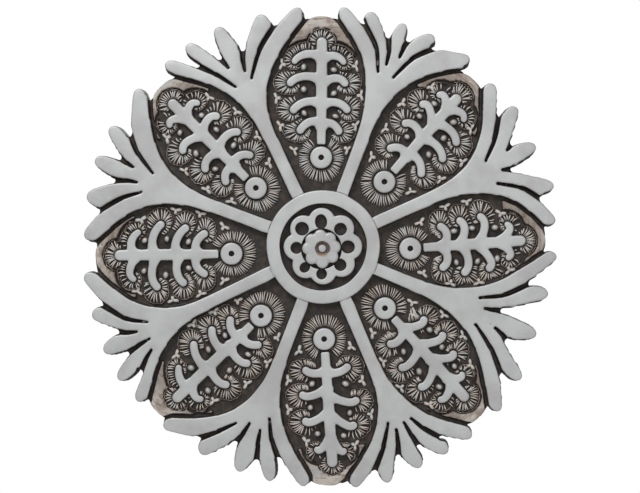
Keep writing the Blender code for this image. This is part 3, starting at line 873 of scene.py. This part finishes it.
def hatchPetal(number, petal, ridges):
    place = PetalFrame(petal)
    ranks = place.leaves(petal)
    lines = ranks[0] + ranks[1]
    stem = [Vector((0, 0)), place.stemEnd]
    straightRidge = ridges[1]       # for the wide toes
    pearls = [Vector((side * out, share * place.length))
              for side, row in ((-1, petal[4]), (1, petal[5])) for out, share in row]
    rootAt = sprigSizes["leafWidth"] / 2 + hatchSizes["leafGap"]
    beadGap, closePitch = hatchSizes["beadGap"], hatchSizes["pitch"] * hatchSizes["closer"]
    stemRoot = sprigSizes["stemWidths"][2] / 2 + hatchSizes["leafGap"]
    stemRadius = hatchSizes["stemFanRadii"][number]
    stamps = []
    # Painted light: hatching on the upper petals is painted lighter and on the lower petals darker, as if
    # lit from above, plus a small random tone for each petal
    petalLightAndTone = 0.22 * math.sin(math.radians(petal[0][0])) + random.uniform(-0.08, 0.08)

    def onGround(spot):
        height = heightAt(place.atWall(spot, 0))
        if isAt(height, "lip"):
            return inPocket(place, petal, number, spot)
        return isAt(height, "ground") or isAt(height, "sprig")

    def free(spot, own, inHalo):
        if not onGround(spot):
            return False
        if not inHalo and spot.length < hatchSizes["haloOuter"] + hatchSizes["haloGap"] - 0.12 * spot.y:
            return False
        toPearl = min((spot - pearl).length for pearl in pearls)
        if toPearl < sprigSizes["pearlRadius"] + hatchSizes["pearlGap"]:
            return False
        ownDistance = distanceToLine(spot, own) if own else 0.0
        for line in lines + [stem]:
            if line is own:
                continue
            distance = distanceToLine(spot, line)
            if distance < (stemRoot if line is stem else rootAt):
                return False
            if own and distance < ownDistance + hatchSizes["fanGap"] / 2:
                return False
        return True

    def ridge(root, way, length, own=None, inHalo=False, tone=None, width=1.0):
        for share in hatchSizes["shortenings"]:
            end = root + way * length * share
            beyond = heightAt(place.atWall(end + way * hatchSizes["frondGap"], 0))
            if (free(end, own, inHalo) and frameLevels["ground"][0] < beyond < frameLevels["sprig"][1]
                    and free(root.lerp(end, 0.5), own, inHalo)):
                break
        else:
            return
        across = Vector((-way.y, way.x)) * hatchSizes["ridgeWidth"] * width * random.uniform(0.85, 1.12)
        along = end - root
        rise = (hatchSizes["top"] - hatchSizes["foot"]) * random.uniform(0.86, 1.05)
        matrix = Matrix(((along.x, across.x, 0, root.x), (along.y, across.y, 0, root.y),
                         (0, 0, rise, hatchSizes["foot"]), (0, 0, 0, 1)))
        tone = random.uniform(0.15, 0.95) + petalLightAndTone if tone is None else tone
        template = straightRidge if width > 1.3 else random.choice(ridges)
        stamps.append(stamp(template, place.place @ matrix, tone))

    def bead(spots, own, tone=-0.15):
        # A thin worn rim along the outer edge of a fan
        for a, b in zip(spots, spots[1:]):
            way = b - a
            if 0.2 < way.length < 3:
                ridge(a, way.normalized(), way.length * 1.3, own, False, tone, 0.55)

    def fan(line, side, j):
        tip, heading = line[-1], (line[-1] - line[-3]).normalized()
        up = Vector((-heading.y, heading.x)) * side
        tipRoot = rootAt - hatchSizes["tipInsets"][j]
        edges = {1: [], -1: []}
        for sign, back in zip((1, -1), hatchSizes["backs"][j]):
            length = fanRadius(up * sign, side, j) - rootAt
            if j == 0 and sign < 0:
                length = hatchSizes["innerReach"]
            nearStem = sprigSizes["stemWidths"][1] / 2 + (0.8 if sign > 0 else -0.4)
            for spot in alongPath(line[::-1], closePitch)[1:]:
                if (spot - tip).length > back or abs(spot.x) < nearStem:
                    break
                near = min(line[1:], key=lambda point: (point - spot).length)
                tangent = near - line[line.index(near) - 1]
                normal = Vector((-tangent.y, tangent.x)).normalized() * side * sign
                way = (normal + heading * random.uniform(-0.04, 0.08)).normalized()
                ridge(spot + normal * rootAt, way, length * random.uniform(0.95, 1.02), line)
                if j == topLeaf or sign > 0:
                    edges[sign].append(spot + normal * (rootAt + length + beadGap))
        arc = []
        steps = int(math.pi * (fanRadius(Vector((side, 0)), side, j) * 0.62) / hatchSizes["pitch"])
        for i in range(steps + 1):
            turn = math.pi * (i / steps - 0.5)
            way = heading * math.cos(turn) + up * math.sin(turn)
            reach = fanRadius(way, side, j)
            arc.append(tip + way * (reach + beadGap))
            way = (way + Vector((-way.y, way.x)) * random.uniform(-0.05, 0.05)).normalized()
            ridge(tip + way * tipRoot, way, (reach - tipRoot) * random.uniform(0.96, 1.02), line)
        bead(edges[-1][::-1] + arc + edges[1], line)

    for rank, side in zip(ranks, (-1, 1)):
        for j, line in enumerate(rank):
            fan(line, side, j)

    # The fan round the stem's end, and down both its sides to the last leaves
    arc = []
    steps = int(math.radians(180) * stemRadius * 0.72 / hatchSizes["pitch"])
    for i in range(steps + 1):
        turn = math.radians(180) * (i / steps - 0.5)
        way = Vector((math.sin(turn), math.cos(turn)))
        ridge(stem[1] + way * stemRoot, way, (stemRadius - stemRoot) * random.uniform(0.95, 1.02), stem)
        arc.append(stem[1] + way * (stemRadius + beadGap))
    for sideWay, rank in ((Vector((-1, 0)), ranks[0]), (Vector((1, 0)), ranks[1])):
        down, edge = stem[1], []
        while down.y > rank[topLeaf][0].y + 4:
            down = down - Vector((0, closePitch))
            ridge(down + sideWay * stemRoot, sideWay, stemRadius - stemRoot, stem)
            edge.append(down + sideWay * (stemRadius + beadGap))
        arc = edge[::-1] + arc if sideWay.x < 0 else arc + edge
    bead(arc, stem)

    # The halo round the eye, longer toward the centre
    inner, outer = hatchSizes["haloInner"], hatchSizes["haloOuter"]
    for i in range(hatchSizes["haloRidges"]):
        turn = 2 * math.pi * (i + random.uniform(-0.12, 0.12)) / hatchSizes["haloRidges"]
        way = Vector((math.sin(turn), math.cos(turn)))
        reach = outer + (hatchSizes["haloLow"] - outer) * max(0.0, -way.y)
        root = way * inner
        if root.y > 0 and abs(root.x) < sprigSizes["stemWidths"][0] / 2 + 0.6:
            continue
        lean = (way + Vector((-way.y, way.x)) * 0.12).normalized()
        ridge(root, lean, (reach - inner) * random.uniform(0.92, 1.03), inHalo=True, width=0.86)

    for rank, side in zip(ranks, (-1, 1)):
        rings = [(Vector((0, 0)), outer + 3.4)]
        rings += [(line[-1], radius) for line, radius in zip(rank, hatchSizes["footRings"])]
        for (a, radiusA), (b, radiusB) in zip(rings, rings[1:]):
            crowsFoot(a, radiusA, b, radiusB, side, onGround, ridge)

    hatching = joinPieces(stamps, "hatching_%d" % (number + 1))
    hatching.data.materials.clear()
    hatching.data.materials.append(hatchFinish)
    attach(hatching, "root")
    return len(stamps)


def crowsFoot(a, radiusA, b, radiusB, side, onGround, ridge):
    # Two worn toes along the pocket's edge and one pointing in between two fans
    span = b - a
    apart = span.length
    along = span.normalized()
    outward = Vector((span.y, -span.x)).normalized() * side
    meet = (apart * apart + radiusA * radiusA - radiusB * radiusB) / (2 * apart)
    share = max(0.0, min(apart, meet))
    rise = math.sqrt(max(9.0, radiusA * radiusA - share * share))
    while rise > 5 and not onGround(a + along * share + outward * (rise + 2.0)):
        rise -= 0.4
    middle = a + along * share + outward * rise
    tone = random.uniform(0.45, 1.0)
    for ahead, out, length, width in hatchSizes["toes"]:
        way = (along * ahead + outward * out).normalized()
        ridge(middle - way * 0.5, way, length, tone=tone, width=width)


ridgeTemplates = [makeRidge("ridge_%d" % i) for i in range(3)]
for template, sway in zip(ridgeTemplates, (-0.45, 0.0, 0.45)):
    for corner in template.data.vertices:
        corner.co.y += sway * 4 * corner.co.x * (1 - corner.co.x)
ridgeCount = sum(hatchPetal(number, petal, ridgeTemplates) for number, petal in enumerate(petals))
for tool in [puckTemplate, eyeTemplate, pearlTemplate] + ridgeTemplates:
    bpy.data.objects.remove(tool)
print("hatching cut,", ridgeCount, "ridges")


# The centre: a flat ring, a flower of eight lobes with a hole each, and a small rosette with a boss

centreSizes = {
    "foot": 6.5,
    "ringOuter": 35.6, "ringInner": 27.2, "ringTop": 12.75,
    "lobeRadius": 8.5, "bandTop": 11.0, "bandDisc": 17.6,
    "lobes": ((93, 24.7), (46, 24.6), (1, 24.8), (-42, 24.1), (-90, 23.7), (-134, 24.2), (180, 24.9),
              (137, 25.3)),
    "holes": ((94.5, 15.8, 7.3, 9.3), (45.4, 15.6, 7.8, 7.8), (0, 15.6, 8.0, 8.4), (-46, 15.5, 7.3, 7.8),
              (-93, 16.9, 6.4, 6.8), (-131.7, 17.1, 6.0, 6.8), (182, 16.6, 7.3, 7.3), (139, 17.4, 8.3, 8.5)),
    "holeFloor": 7.05,
    "rosettePlace": (-1.0, -1.2), "rosetteTop": 12.3, "rosetteBed": 12.7,
    "rosette": (95, 51, 8, -36, -86, -136, 178, 138), "rosetteOrbit": 8.3, "rosetteLobe": 4.1,
    "bossPlace": (-0.5, -0.8), "dimple": 4.3, "dimpleFloor": 10.4, "boss": 2.8, "bossTop": 12.1,
    "drillDepth": 40,
    "voxel": 0.36,
}
atCentre = Matrix(((mm, 0, 0, 0), (0, 0, -mm, 0), (0, mm, 0, 0), (0, 0, 0, 1)))


def centrePuck(radius, top, x=0.0, y=0.0, roundness=0.9, sides=40):
    puck = makePuck("puck", radius, top - centreSizes["foot"], roundness, sides)
    puck.data.transform(Matrix.Translation((x, y, centreSizes["foot"])))
    return puck


def drillOut(piece, width, length, x, y, angle, bottom, sides=32):
    depth = centreSizes["drillDepth"]
    clearSelection()
    bpy.ops.mesh.primitive_cylinder_add(vertices=sides, radius=0.5, depth=depth, location=(0, 0, 0))
    drill = bpy.context.object
    drill.data.transform(Matrix.Translation((x, y, bottom + depth / 2))
                         @ Matrix.Rotation(math.radians(angle), 4, "Z")
                         @ Matrix.Diagonal((length, width, 1, 1)))
    modify(piece, "BOOLEAN", operation="DIFFERENCE", object=drill, solver="EXACT")
    bpy.data.objects.remove(drill)


def finishCentre(piece, name, mostTriangles, softening=5):
    modify(piece, "REMESH", mode="VOXEL", voxel_size=centreSizes["voxel"], use_smooth_shade=True)
    modify(piece, "SMOOTH", factor=0.5, iterations=softening)
    thin(piece, mostTriangles)
    piece.data.transform(atCentre)
    piece.name = piece.data.name = name
    finishPiece(piece, silverFinish)
    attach(piece, "root")


def makeRing():
    ring = centrePuck(centreSizes["ringOuter"], centreSizes["ringTop"], sides=144)
    bore = 2 * centreSizes["ringInner"]
    drillOut(ring, bore, bore, 0, 0, 0, 0.0, 144)
    for corner in ring.data.vertices:
        angle = math.atan2(corner.co.y, corner.co.x)
        wobble = (1 + 0.005 * math.sin(3 * angle + 1.0) + 0.004 * math.sin(5 * angle)
                  + 0.002 * math.sin(11 * angle))
        corner.co.x *= wobble
        corner.co.y *= wobble
    finishCentre(ring, "ring", 16000)


def makeFlower():
    sizes = centreSizes
    pucks = [centrePuck(sizes["bandDisc"], sizes["bandTop"])]
    for angle, reach in sizes["lobes"]:
        spot = onWall(angle, reach - sizes["lobeRadius"])
        pucks.append(centrePuck(sizes["lobeRadius"], sizes["bandTop"], spot.x, spot.y))
    flower = joinPieces(pucks, "flower")
    modify(flower, "REMESH", mode="VOXEL", voxel_size=sizes["voxel"])
    for angle, distance, width, length in sizes["holes"]:
        spot = onWall(angle, distance)
        drillOut(flower, width, length, spot.x, spot.y, angle, sizes["holeFloor"])
    bed = 2 * sizes["rosetteBed"]
    drillOut(flower, bed, bed, *sizes["rosettePlace"], 0, sizes["holeFloor"])
    finishCentre(flower, "flower", 22000, 6)


def makeRosette():
    sizes = centreSizes
    x, y = sizes["rosettePlace"]
    pucks = [centrePuck(sizes["rosetteOrbit"], sizes["rosetteTop"], x, y, 1.4)]
    for angle in sizes["rosette"]:
        spot = onWall(angle, sizes["rosetteOrbit"])
        pucks.append(centrePuck(sizes["rosetteLobe"], sizes["rosetteTop"], x + spot.x, y + spot.y, 1.7))
    rosette = joinPieces(pucks, "rosette")
    modify(rosette, "REMESH", mode="VOXEL", voxel_size=sizes["voxel"])
    spot = sizes["bossPlace"]
    drillOut(rosette, 2 * sizes["dimple"], 2 * sizes["dimple"], *spot, 0, sizes["dimpleFloor"])
    boss = centrePuck(sizes["boss"], sizes["bossTop"], *spot, 1.2, 24)
    rosette = joinPieces([rosette, boss], "rosette")
    finishCentre(rosette, "rosette", 12000, 6)


makeRing()
makeFlower()
makeRosette()
print("centre made")


# Floor, light and camera

def makeFloor():
    clearSelection()
    bpy.ops.mesh.primitive_plane_add(size=4.0, location=(0, 0, -1.0))
    floor = bpy.context.object
    floor.name = "floor"
    material, tree, shader = newMaterial("pale floor")
    shader.inputs["Base Color"].default_value = (0.82, 0.82, 0.81, 1)
    shader.inputs["Roughness"].default_value = 0.9
    floor.data.materials.append(material)


def addSoftLight(name, place, size, power, target=(0, 0, 0)):
    lamp = bpy.data.lights.new(name, "AREA")
    lamp.shape = "DISK"
    lamp.size = size
    lamp.energy = power
    holder = bpy.data.objects.new(name, lamp)
    bpy.context.scene.collection.objects.link(holder)
    holder.location = place
    holder.rotation_euler = (Vector(target) - Vector(place)).to_track_quat("-Z", "Y").to_euler()


cameraPlace = {
    "location": (-0.0019, -0.9628, 0.0003),
    "lens": 85.5,
}


def makeCamera():
    camera = bpy.data.cameras.new("camera")
    camera.lens = cameraPlace["lens"]
    camera.sensor_width = 36
    holder = bpy.data.objects.new("camera", camera)
    bpy.context.scene.collection.objects.link(holder)
    holder.location = cameraPlace["location"]
    holder.rotation_euler = (math.radians(90), 0, 0)
    bpy.context.scene.camera = holder


makeFloor()
lightPowers = {"key": 10.5, "fill": 6.5, "back": 18, "room": 0.40}


def makeWorld():
    world = bpy.data.worlds.new("studio")
    world.use_nodes = True
    tree = world.node_tree
    background = tree.nodes["Background"]
    background.inputs["Color"].default_value = (1, 1, 1, 1)
    seen = tree.nodes.new("ShaderNodeLightPath")
    strength = ramp(tree, seen.outputs["Is Camera Ray"], 0.0, 1.0, lightPowers["room"], 1.0)
    tree.links.new(strength, background.inputs["Strength"])
    bpy.context.scene.world = world


addSoftLight("key light", (-0.45, -1.0, 0.95), 0.6, lightPowers["key"])
addSoftLight("front fill", (0.5, -2.0, 0.2), 1.6, lightPowers["fill"])
addSoftLight("back fill", (0.4, 1.8, 0.9), 1.2, lightPowers["back"])
makeWorld()
bpy.context.scene.view_settings.view_transform = "Standard"
makeCamera()
print("stage set")
